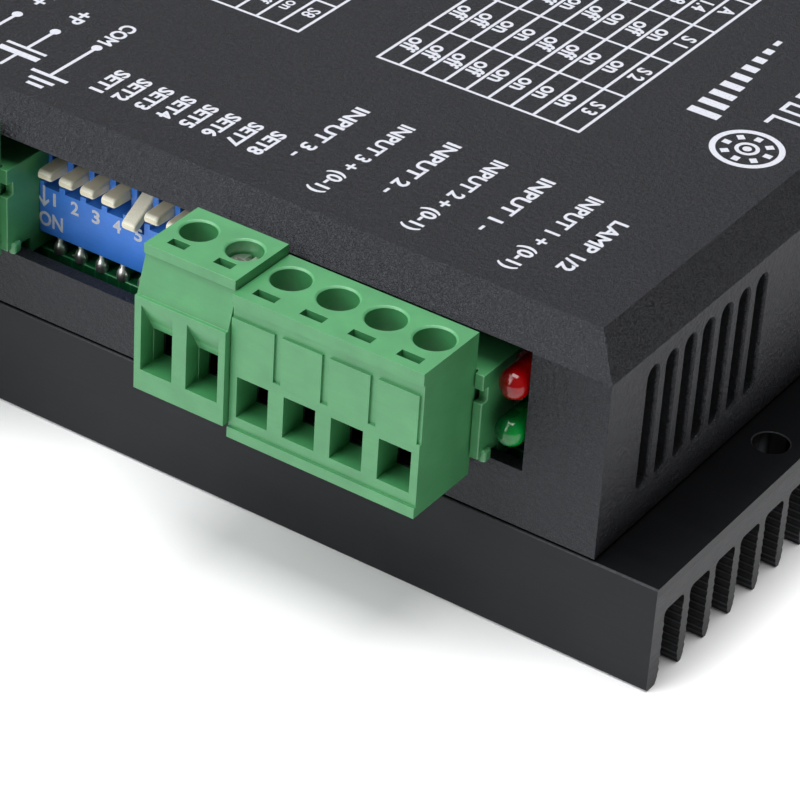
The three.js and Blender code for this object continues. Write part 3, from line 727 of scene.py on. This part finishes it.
def lettering(text, size, length=None, weight=0.0):
    """Text as a bmesh, size high, from x = 0 and centred on y = 0, squeezed to a length if one is given."""
    curve = bpy.data.curves.new("lettering", "FONT")
    curve.body = text
    curve.size = size / CAPITAL_HEIGHT
    curve.offset = weight
    curve.extrude = 0.009
    curve.resolution_u = 3
    holder = bpy.data.objects.new("lettering", curve)
    bpy.context.scene.collection.objects.link(holder)
    bpy.context.view_layer.update()
    graph = bpy.context.evaluated_depsgraph_get()
    mesh = bpy.data.meshes.new_from_object(holder.evaluated_get(graph))
    bm = bmesh.new()
    bm.from_mesh(mesh)
    bpy.data.objects.remove(holder)
    bpy.data.curves.remove(curve)
    bpy.data.meshes.remove(mesh)
    xs = [v.co.x for v in bm.verts]
    stretch = length / (max(xs) - min(xs)) if length else 1
    moved(bm, -min(xs), -size / 2)
    bmesh.ops.scale(bm, vec=(stretch, 1, 1), verts=bm.verts)
    return bm


def on_top(bm, x, y):
    """Lays lettering on the cover: it reads towards the front, with its tops to the right."""
    return moved(turned(bm, -math.pi / 2, "Z"), x, y, INK_Z + 0.005)


def printed(name, marks):
    piece(new_object(name, merged(*marks)), "housing", WHITE_INK)


def table(x0, x1, columns, rows, line):
    """Ruled lines: columns along X between x0 and x1, rows at the given y values."""
    marks = []
    for i in range(columns + 1):
        x = x0 + (x1 - x0) * i / columns
        marks.append(bar(x - line / 2, x + line / 2, rows[0] - line / 2, rows[-1] + line / 2))
    for y in rows:
        marks.append(bar(x0 - line / 2, x1 + line / 2, y - line / 2, y + line / 2))
    return marks


def settings_table():
    """The table of switch settings: a head column on the right, then one column for each setting."""
    right = 29.65
    left = right - (SWITCHES + 1) * TABLE_PITCH
    rows = [-7.05, 1.6, 10.3, 18.6, 26.2, 33.6]
    marks = table(left, right, SWITCHES + 1, rows, RULED_LINE)
    for row, y in enumerate(rows[:-1]):
        centre = (y + rows[row + 1]) / 2
        head = f"S {3 - row}" if row < 3 else "A"
        marks.append(on_top(lettering(head, 1.5, weight=0.06), right - TABLE_PITCH / 2, centre + 1.7))
        for i in range(SWITCHES):
            x = right - TABLE_PITCH * (i + 1.5)
            if row < 3:
                word = "on" if (i >> (2 - row)) % 2 == 0 else "off"
            else:
                word = f"{1.4 + 0.4 * i + 0.6 * (row - 3):.1f}"
            size = 1.8 if row < 3 else 1.5
            marks.append(on_top(lettering(word, size, weight=0.06), x, centre + 1.4))
    printed("print_settings_table", marks)


def step_table():
    """The table of step settings: a head column on the right, then the settings."""
    right = -2.1
    rows = [-7.85, -1.25, 5.35, 11.95, 18.55, 25.15]
    marks = table(right - SWITCHES * TABLE_PITCH, right, SWITCHES, rows, RULED_LINE)
    for row, y in enumerate(rows[:-1]):
        for i in range(SWITCHES):
            word = f"S{SWITCHES - row}" if i == 0 else ("on" if (i + row) % 2 else "off")
            x = right - TABLE_PITCH * (i + 0.5)
            marks.append(on_top(lettering(word, 1.4, weight=0.03), x, y + 4.9))
    printed("print_step_table", marks)


def terminal_labels():
    """A number and a sign for each terminal, lamp and switch."""
    size = 1.5
    marks = []
    for i in range(TERMINALS):
        x = 11.7 + 5.16 * i
        long = i % 2
        text = f"INPUT {3 - i // 2} " + ("+ (0-1)" if long else "-")
        marks.append(on_top(lettering(text, size, 15.3 if long else 11.3, 0.055), x, -16.45))
    marks.append(on_top(lettering("LAMP 1/2", size, 10.2, 0.055), 41.5, -18.65))
    for i in range(SWITCHES):
        marks.append(on_top(lettering(f"SET{i + 1}", size, 4.7, 0.07), -9.9 + 2.61 * i, -25.05))
    printed("print_terminal_labels", marks)


def supply_symbols():
    """A ground mark, a supply mark and a winding lead, each on its own line."""
    half_line = SYMBOL_LINE / 2
    dot_r = 0.55
    x = -15.0
    marks = [dot(x, -23.05, dot_r), bar(x - half_line, x + half_line, -30.25, -23.05)]
    for y, half in ((-30.25, 2.15), (-31.45, 1.45), (-32.45, 0.95)):
        marks.append(bar(x - half, x + half, y - 0.24, y + 0.24))
    marks.append(on_top(lettering("COM", 1.6, 4.6, 0.07), x, -17.4))
    x = -20.1
    marks += [dot(x, -23.05, dot_r), bar(x - half_line, x + half_line, -27.4, -23.05)]
    marks += [bar(x - 2.4, x + 2.4, -27.6, -27.2), bar(x - 2.4, x + 2.4, -29.0, -28.2)]
    marks.append(bar(x - half_line, x + half_line, -31.4, -28.8))
    marks.append(on_top(lettering("+P", 1.7, None, 0.07), x, -18.0))
    for i, x in enumerate((-25.2, -30.3, -35.4, -40.5)):
        marks += [dot(x, -22.6, dot_r), bar(x - half_line, x + half_line, -27.6, -22.6)]
        marks.append(on_top(lettering(str(i // 2 + 1) + "+-"[i % 2], 1.8, None, 0.07), x, -17.6))
    for x in (-27.75, -37.95):
        marks += [bar(x - 2.74, x + 2.74, -27.8, -27.42)]
        marks += [ring(x + dx, -29.4, 0.85, 0.3) for dx in (-1.7, 0, 1.7)]
    printed("print_supply_symbols", marks)


def motor_pictogram():
    """A round motor with its shaft, a row of growing step marks and a train of pulses."""
    x, y = 43.6, 0.4
    marks = [ring(x, y, 3.6, 0.6), ring(x, y, 1.2, 0.4), dot(x, y, 0.45)]
    for turn in range(8):
        tooth = bar(x + 1.8, x + 2.6, y - 0.35, y + 0.35)
        marks.append(turned(tooth, turn * math.pi / 4, "Z", (x, y, 0)))
    for i in range(9):
        marks.append(bar(35.3, 38.6 - 0.34 * i, 3.3 + 2.1 * i, 4.4 + 2.1 * i))
    for i in range(5):
        start = 6 + 3.2 * i
        marks += [bar(42.2, 42.65, start, start + 1.6), bar(45.2, 45.65, start + 1.6, start + 3.2)]
        marks += [bar(42.2, 45.65, start + 1.38, start + 1.82), bar(42.2, 45.65, start + 2.98, start + 3.42)]
    printed("print_motor_pictogram", marks)


# ---- switch block ----
SWITCH_SHIFT = Vector((-0.45, 0, 0))


def lever(node):
    """A cream lever with a plump rounded end, tilted about its hinge."""
    low, high = span(node)
    place = (low + high) / 2 + SWITCH_SHIFT
    tilt = math.atan2((high.z - low.z) - 1.3, (high.y - low.y) - 0.9)
    half = math.hypot(high.z - low.z, high.y - low.y) / 2 - 0.35
    outline = arc((-half + 0.55, -0.13), 0.55, 90, 240, 6) + [(half, -0.68), (half, 0.6)]
    made = new_object(node + "_plump", prism("X", outline, -0.8, 0.8))
    turn = Matrix.Translation(place * MM) @ Matrix.Rotation(tilt, 4, "X")
    made.data.transform(turn)
    rounded(made, 0.26, 4)
    piece(made, node, CREAM, "lever_cream", [node])


def switch_block():
    low, high = SWITCH_LOW + SWITCH_SHIFT, SWITCH_HIGH + SWITCH_SHIFT
    levers = [middle(f"dip_lever_{i + 1}") + SWITCH_SHIFT for i in range(SWITCHES)]
    made = new_object("switch_body", block((SWITCH_LOW.x - 0.1, high.x), (low.y, high.y), (low.z, high.z)))
    tools = []
    for i, place in enumerate(levers):
        x = place.x
        floor = low.z + (4.3 if place.z < levers[0].z - 0.3 else 5.1)
        tools.append(block((x - 0.93, x + 0.93), (low.y - 1, low.y + 4.2), (floor, high.z + 1)))
    boolean(made, "DIFFERENCE", tools)
    rebate = block((low.x - 1, high.x + 1), (low.y - 1, low.y + 1.3), (low.z + 5.6, high.z + 1))
    boolean(made, "DIFFERENCE", [rebate])
    steps = []
    for i in range(SWITCHES + 1):
        x = low.x + i * SWITCH_PITCH
        steps.append(block((x + 0.2, x + 0.9), (low.y + 5.6, low.y + 7.6), (high.z - 0.25, high.z + 1)))
    boolean(made, "DIFFERENCE", steps)
    rounded(made, 0.1)
    piece(made, "housing", BLUE, "switch_blue", ["dip_switch_body"])

    def on_front(bm, x, z):
        return moved(turned(bm, math.pi / 2, "X"), x, low.y + 0.004, z)

    marks = []
    for i, place in enumerate(levers):
        digit = lettering(str(i + 1), 1.35, 0.32 if i == 0 else 0.95, 0.05)
        marks.append(on_front(digit, place.x + (0.2 if i == 0 else -0.2), low.z + 4.05))
    marks.append(on_front(lettering("ON", 1.5, 2.9, 0.05), low.x + 0.25, low.z + 1.6))
    x = low.x + 0.85
    arrow = [(x - 0.14, 5.2), (x + 0.14, 5.2), (x + 0.14, 3.5), (x + 0.55, 3.9), (x + 0.65, 3.65), (x, 2.85)]
    arrow += [(x - 0.65, 3.65), (x - 0.55, 3.9), (x - 0.14, 3.5)]
    marks.append(prism("Y", [(u, v + low.z) for u, v in arrow], low.y - 0.005, low.y + 0.01))
    printed("switch_marks", marks)

    rise = low.z - BOARD_HIGH.z
    profile = [(0, -0.12), (0.62, -0.12), (0.66, 0.3), (0.6, 0.7), (0.45, 1.0), (0.3, 1.15)]
    profile += [(0.24, rise + 0.3), (0, rise + 0.3)]
    leads = []
    for place in levers:
        for y in (low.y + 0.95, high.y - 0.6):
            leads.append(moved(lathe(profile, 20), place.x + 0.35, y, BOARD_HIGH.z + 0.1))
    piece(smoothed(new_object("switch_leads", merged(*leads)), 60), "housing", TINNED)
    for i in range(SWITCHES):
        lever(f"dip_lever_{i + 1}")


# ---- sockets and plugs ----
def socket_pins(side):
    """Contact pins with their soldered tails, and the small lugs at the socket's ends."""
    low, high = span(f"{side}_header")
    pins = []
    z = (low.z + high.z) / 2 + 0.88
    for i in range(TERMINALS):
        x = middle(f"{side}_screw_{i + 1}").x
        tip = low.y + 3.2
        pin = block((x - 0.5, x + 0.5), (tip, high.y - 1.0), (z - 0.4, z + 0.4))
        tail = block((x - 0.5, x + 0.5), (high.y - 2.4, high.y - 1.5), (BOARD_LOW.z - 1.2, low.z + 0.5))
        pins += [pin, tail]
        fillet = lathe([(0, -0.5), (0.35, -0.45), (0.6, -0.15), (1.1, 0), (0, 0)], 20)
        pins.append(moved(fillet, x, high.y - 1.95, BOARD_LOW.z - 0.02))
    piece(rounded(new_object(f"{side}_pins", merged(*pins)), 0.12), "housing", TINNED)
    lugs = []
    for x in (low.x, high.x):
        lugs.append(block((x - 0.45, x + 0.45), (low.y + 0.5, low.y + 1.7), (low.z + 1.2, low.z + 2.5)))
    piece(rounded(new_object(f"{side}_lugs", merged(*lugs)), 0.35, 4), "housing", GREEN)


class Style:
    """The sizes of one plug pattern, from the plug's own box."""

    def __init__(self, node, count, prefix, first, hole, entry, key):
        self.node = node
        self.low, self.high = span(node)
        self.screws = [middle(f"{prefix}_screw_{first + i}") for i in range(count)]
        self.hole = hole
        self.entry = entry
        self.key = key
        self.face = self.screws[0].y + SCREW_TO_FACE
        self.rear = self.face - REAR_STEP


def terminal_cuts(style, place):
    """The screw hole with its chamfer, the clamp chamber, the wire entry and the small key slot."""
    x, line = place.x, place.y
    low, high = style.low, style.high
    radius = style.hole
    top = high.z
    chamber_top = BOARD_HIGH.z + CHAMBER_TOP
    bottom, roof = style.entry
    front = line + SCREW_TO_FACE
    rim = 0.18
    shaft = [(0, chamber_top - 0.5), (radius, chamber_top - 0.5), (radius, top - rim)]
    shaft += [(radius + rim, top), (radius + rim, top + 1), (0, top + 1)]
    half, key_y = style.key
    return [
        block((x - CHAMBER_HALF, x + CHAMBER_HALF), (line - CHAMBER_HALF, line + CHAMBER_HALF),
              (bottom, chamber_top)),
        moved(lathe(shaft, 40), x, line),
        block((x - 1.7, x + 1.7), (low.y - 1, line), (bottom, roof)),
        block((x - half, x + half), (front - key_y, front - key_y + 1), (top - 3, top + 1)),
    ]


def plug_nose(style):
    """The tongue that enters the socket, and the holes in it for the pins."""
    low, high = style.low, style.high
    floor = BOARD_HIGH.z + WINDOW_SILL + HEADER_LIFT + HEADER_WALL + NOSE_ROOM
    roof = span("signal_header")[1].z - HEADER_WALL - NOSE_ROOM
    rear = style.rear
    nose = block((low.x + NOSE_ROOM, high.x - NOSE_ROOM), (rear - 0.5, rear + NOSE_LENGTH), (floor, roof))
    z = (floor + roof) / 2
    holes = [block((p.x - 0.9, p.x + 0.9), (rear + 1, rear + 8), (z - 0.9, z + 0.9)) for p in style.screws]
    return nose, holes


def finish_plug(style, made, cuts):
    """Joins the nose, cuts the terminals and puts a contact cage in each."""
    nose, holes = plug_nose(style)
    boolean(made, "UNION", [nose])
    boolean(made, "DIFFERENCE", cuts)
    for place in style.screws:
        for tool in terminal_cuts(style, place):
            boolean(made, "DIFFERENCE", [tool])
    boolean(made, "DIFFERENCE", holes)
    rounded(made, 0.11)
    piece(made, style.node, GREEN, "terminal_green", [style.node])
    contacts = []
    bottom, roof = style.entry
    cage_top = BOARD_HIGH.z + CHAMBER_TOP - 0.1
    mouth = style.low.y + 3.4
    for place in style.screws:
        x, y = place.x, place.y
        gate = [(-1.68, bottom + 0.02), (1.68, bottom + 0.02), (1.68, roof - 0.02), (-1.68, roof - 0.02)]
        inner = [(u * 0.88, bottom + 0.2 if v < roof - 1 else roof - 0.2) for u, v in gate]
        gate = [(x + u, v) for u, v in gate]
        inner = [(x + u, v) for u, v in inner]
        contacts.append(tube(gate, inner, mouth, y - 1.95))
        contacts.append(block((x - 1.6, x + 1.6), (y - 1.8, y + 1.8), (bottom + 0.03, bottom + 0.4)))
        contacts.append(block((x - 1.6, x + 1.6), (y + 1.74, y + 1.86), (bottom + 0.03, cage_top)))
        for side in (-1, 1):
            inner, outer = sorted((x + side * 1.76, x + side * 1.87))
            contacts.append(block((inner, outer), (y - 1.5, y + 1.5), (bottom + 0.03, cage_top)))
    name = style.node.replace("plug", "contacts")
    piece(new_object(name, merged(*contacts)), style.node, CONTACT_PAINTED_DARK, "plated_steel")


def hooded_plug(style):
    """A top plate over a set-back panel, and a deep chin with funnel-shaped wire entries."""
    low, high = style.low, style.high
    face = style.face
    rear = style.rear
    hood = face - 9.2
    panel = face - 8.85
    chin = low.z + 9.9
    profile = [(low.y, low.z), (rear, low.z), (rear, high.z), (hood, high.z), (hood, high.z - 1)]
    profile += [(panel, high.z - 1), (low.y + 0.35, chin), (low.y, chin - 0.02)]
    made = new_object(style.node + "_body", prism("X", profile, low.x, high.x))
    bottom, roof = style.entry
    mouth_top = low.z + 9.1
    mouth = [(low.y - 1, bottom), (low.y + 1.9, bottom), (low.y + 1.9, roof)]
    mouth += [(low.y, mouth_top), (low.y - 1, mouth_top)]
    cuts = [prism("X", mouth, p.x - 1.75, p.x + 1.75) for p in style.screws]
    finish_plug(style, made, cuts)


def panelled_plug(style):
    """A flat face with a band, grooves between its panels, and a low lip."""
    low, high = style.low, style.high
    front = low.y + 0.25
    made = new_object(style.node + "_body", block((low.x, high.x), (front, style.rear), (low.z, high.z)))
    boolean(made, "UNION", [block((low.x, high.x), (low.y, front + 1), (low.z, low.z + 1.1))])
    cuts = [block((low.x - 1, high.x + 1), (front - 1, front + 0.25), (high.z - 2.4, high.z - 1.25))]
    for place in style.screws:
        x = place.x + PITCH / 2
        cuts.append(block((x - 0.4, x + 0.4), (front - 1, front + 0.25), (low.z + 7.6, high.z - 2)))
    finish_plug(style, made, cuts)


def clamp_screw(node):
    """A plated screw with a slot and cross recess, and a threaded shank."""
    low, high = span(node)
    place = middle(node)
    head = (high.x - low.x) / 2
    edge = 0.2
    profile = [(0, low.z), (0.9, low.z), (0.9, low.z + 1.4)]
    z = low.z + 1.5
    while z < high.z - 1.6:
        profile += [(1.05, z), (1.25, z + 0.15), (1.25, z + 0.2), (1.05, z + 0.35)]
        z += 0.4
    profile += [(1.05, high.z - 1.2), (head, high.z - 1.2), (head, high.z - edge)]
    profile += [(head - edge * 0.3, high.z - edge * 0.3), (head - edge, high.z), (0, high.z)]
    made = new_object(node + "_detailed", lathe(profile))
    slot = block((-0.26, 0.26), (-3, 3), (high.z - 0.6, high.z + 1))
    cross = block((-1.0, 1.0), (-0.26, 0.26), (high.z - 0.6, high.z + 1))
    boolean(made, "DIFFERENCE", [slot])
    boolean(made, "DIFFERENCE", [cross])
    made.data.transform(Matrix.Translation(Vector((place.x, place.y, 0)) * MM))
    smoothed(made)
    piece(made, node, PLATED, "plated_steel", [node])


def connectors():
    for side in ("signal", "power"):
        dressed(f"{side}_header", GREEN, 0.12)
        socket_pins(side)
        for i in range(TERMINALS):
            clamp_screw(f"{side}_screw_{i + 1}")
            dressed(f"{side}_clamp_{i + 1}", PLATED, 0.08)
    board = BOARD_HIGH.z
    hooded = {"hole": 1.75, "entry": (board + 3.4, board + 6.9), "key": (0.95, 7.9)}
    panelled = {"hole": 1.9, "entry": (board + 2.2, board + 6.5), "key": (1.2, 8.65)}
    hooded_plug(Style("signal_plug_2way", 2, "signal", 1, **hooded))
    panelled_plug(Style("signal_plug_4way", 4, "signal", 3, **panelled))
    hooded_plug(Style("power_plug", 6, "power", 1, **hooded))


# ---- lamps ----
def lamp(node, resin, slot):
    """A domed resin lens on a flange, with its lead frame inside and its leads behind."""
    low, high = span(node)
    centre = middle(node)
    radius = 1.5
    dome = low.y + radius
    profile = [(0, 0), (1.85, 0), (1.85, 0.9), (radius, 0.9), (radius, high.y - dome)]
    profile += arc((0, high.y - dome), radius, 0, 90, 10)[1:-1] + [(0, high.y - low.y)]
    lens = turned(lathe(profile, 40), math.pi / 2, "X")
    made = new_object(node + "_lens", moved(lens, centre.x, high.y, centre.z))
    piece(smoothed(made), "housing", resin, slot, [node])
    anvil = lathe([(0, 0), (0.55, 0), (0.75, 1.4), (0.5, 1.25), (0, 1.1)], 20)
    post = moved(block((-0.2, 0.2), (-0.2, 0.2), (0, 1.3)), 0.85)
    inner = turned(merged(anvil, post), math.pi / 2, "X")
    inner = moved(inner, centre.x, high.y - 0.5, centre.z)
    leads = []
    for side in (-1, 1):
        x = centre.x + side * 0.9
        bend = high.y + 0.8 * side
        across = (x - 0.25, x + 0.25)
        leads.append(block(across, (high.y - 0.2, bend + 1.6), (centre.z - 0.25, centre.z + 0.25)))
        leads.append(block(across, (bend + 1.2, bend + 1.7), (BOARD_LOW.z - 0.6, centre.z + 0.25)))
    piece(new_object(node + "_frame", merged(inner, *leads)), "housing", TINNED)


def lamps():
    lamp("led_red", RED_RESIN, "red_lens")
    lamp("led_green", GREEN_RESIN, "green_lens")


# ---- inside the cover ----
def electronics():
    dressed("circuit_board", LAMINATE, 0.16)
    dressed("thermal_pad", PAD, 0.2)
    for i in (1, 2):
        dressed(f"power_bridge_{i}", CHIP, 0.15)
        dressed(f"cover_screw_{i}", PLATED, 0.15)
    for i in range(1, 5):
        dressed(f"standoff_{i}", PLATED, 0.1)
        dressed(f"board_screw_{i}", PLATED, 0.15)
    for i in (1, 2):
        low, high = span(f"capacitor_{i}")
        radius = (high.x - low.x) / 2
        height = high.z - low.z
        profile = [(0, 0), (radius - 0.4, 0), (radius, 0.3), (radius, 1.3), (radius - 0.4, 1.8)]
        profile += [(radius, 2.3), (radius, height - 0.5)]
        profile += arc((radius - 0.6, height - 0.6), 0.6, 10, 90, 4)
        profile += [(radius - 1.0, height - 0.12), (0, height - 0.12)]
        made = new_object(f"capacitor_can_{i}", lathe(profile, 48))
        for turn in (0.0, math.pi / 2):
            score = block((-0.12, 0.12), (-radius + 1.4, radius - 1.4), (height - 0.35, height + 1))
            boolean(made, "DIFFERENCE", [turned(score, turn, "Z")])
        place = middle(f"capacitor_{i}")
        made.data.transform(Matrix.Translation(Vector((place.x, place.y, low.z)) * MM))
        piece(smoothed(made), "housing", SLEEVE, "capacitor_sleeve", [f"capacitor_{i}"])
    small_parts()


def small_parts():
    """Control chip with its legs, and rows of small parts on the board."""
    low, high = span("microcontroller")
    chip = new_object("control_chip", block((low.x, high.x), (low.y, high.y), (low.z, high.z)))
    dimple = moved(rod(0.6, high.z - 0.1, high.z + 1), low.x + 1.6, high.y - 1.6)
    boolean(chip, "DIFFERENCE", [dimple])
    piece(rounded(chip, 0.15), "housing", CHIP, "chip_package", ["microcontroller"])
    legs = []
    place = middle("microcontroller")
    half = (high.x - low.x) / 2
    path = [(half - 0.2, 0.75), (half + 0.3, 0.75), (half + 0.5, 0.1), (half + 1.1, 0.1)]
    path += [(half + 1.1, -0.08), (half + 0.4, -0.08), (half + 0.2, 0.6), (half - 0.2, 0.6)]
    for side in range(4):
        for i in range(11):
            u = (i - 5) * 0.8
            leg = prism("Y", path, u - 0.15, u + 0.15)
            legs.append(moved(turned(leg, side * math.pi / 2, "Z"), place.x, place.y, low.z))
    piece(new_object("control_chip_legs", merged(*legs)), "housing", TINNED)
    board = BOARD_HIGH.z
    bodies = []
    ends = []
    for row, y in enumerate((-19.0, -16.2, 22.0, 24.8)):
        for i in range(12):
            x = -33 + 6 * i + 2 * (row % 2)
            bodies.append(block((x - 0.65, x + 0.65), (y - 0.62, y + 0.62), (board + 0.02, board + 0.75)))
            for side in (-1, 1):
                x0, x1 = sorted((x + side * 0.6, x + side * 1.05))
                ends.append(block((x0, x1), (y - 0.64, y + 0.64), (board + 0.01, board + 0.77)))
    piece(rounded(new_object("chip_parts", merged(*bodies)), 0.08), "housing", CERAMIC)
    piece(rounded(new_object("chip_part_ends", merged(*ends)), 0.08), "housing", TINNED)


# ---- studio ----
def area_light(name, place, target, size, power, color=(1, 1, 1)):
    light = bpy.data.lights.new(name, "AREA")
    light.shape = "RECTANGLE"
    light.size, light.size_y = size
    light.energy = power
    light.color = color
    holder = bpy.data.objects.new(name, light)
    bpy.context.scene.collection.objects.link(holder)
    holder.location = place
    holder.rotation_mode = "QUATERNION"
    holder.rotation_quaternion = (Vector(target) - Vector(place)).to_track_quat("-Z", "Y")


def studio():
    bm = bmesh.new()
    bmesh.ops.create_grid(bm, x_segments=8, y_segments=8, size=3000)
    floor = new_object("floor", bm)
    floor.data.materials.append(floor_finish())
    area_light("top_panel", (0, 0, 1.3), (0, 0, 0), (1.0, 1.0), 21)
    area_light("fill_panel", (-0.45, -1.25, 0.7), (0, 0, 0), (0.8, 0.8), 5.5)
    area_light("back_panel", (-0.64, 1.02, 0.8), (0, 0, 0), (1.0, 1.0), 2.1, (0.95, 0.96, 1.0))
    area_light("front_panel", (-0.6, -0.8, 0.85), (0, 0, 0), (1.1, 1.1), 12, (0.98, 0.98, 1.0))
    world = bpy.data.worlds.new("studio")
    world.use_nodes = True
    world.node_tree.nodes["Background"].inputs["Color"].default_value = (1, 1, 1, 1)
    world.node_tree.nodes["Background"].inputs["Strength"].default_value = 0.12
    bpy.context.scene.world = world
    bpy.context.scene.view_settings.view_transform = "Standard"


def camera():
    """A long lens, turned to the right of the front and looking down, rolled a little."""
    place = Vector((169.898, -258.572, 194.833)) * MM
    azimuth, elevation, roll = (math.radians(a) for a in (32.138, 33.885, 3.761))
    data = bpy.data.cameras.new("camera")
    data.sensor_width = 36
    data.lens = 158.002
    data.clip_start = 0.01
    data.clip_end = 20
    holder = bpy.data.objects.new("camera", data)
    bpy.context.scene.collection.objects.link(holder)
    tilt = Matrix.Rotation(azimuth, 4, "Z") @ Matrix.Rotation(math.pi / 2 - elevation, 4, "X")
    holder.matrix_world = Matrix.Translation(place) @ tilt @ Matrix.Rotation(roll, 4, "Z")
    bpy.context.scene.camera = holder


heatsink()
cover()
settings_table()
step_table()
terminal_labels()
supply_symbols()
motor_pictogram()
switch_block()
connectors()
lamps()
electronics()
studio()
camera()
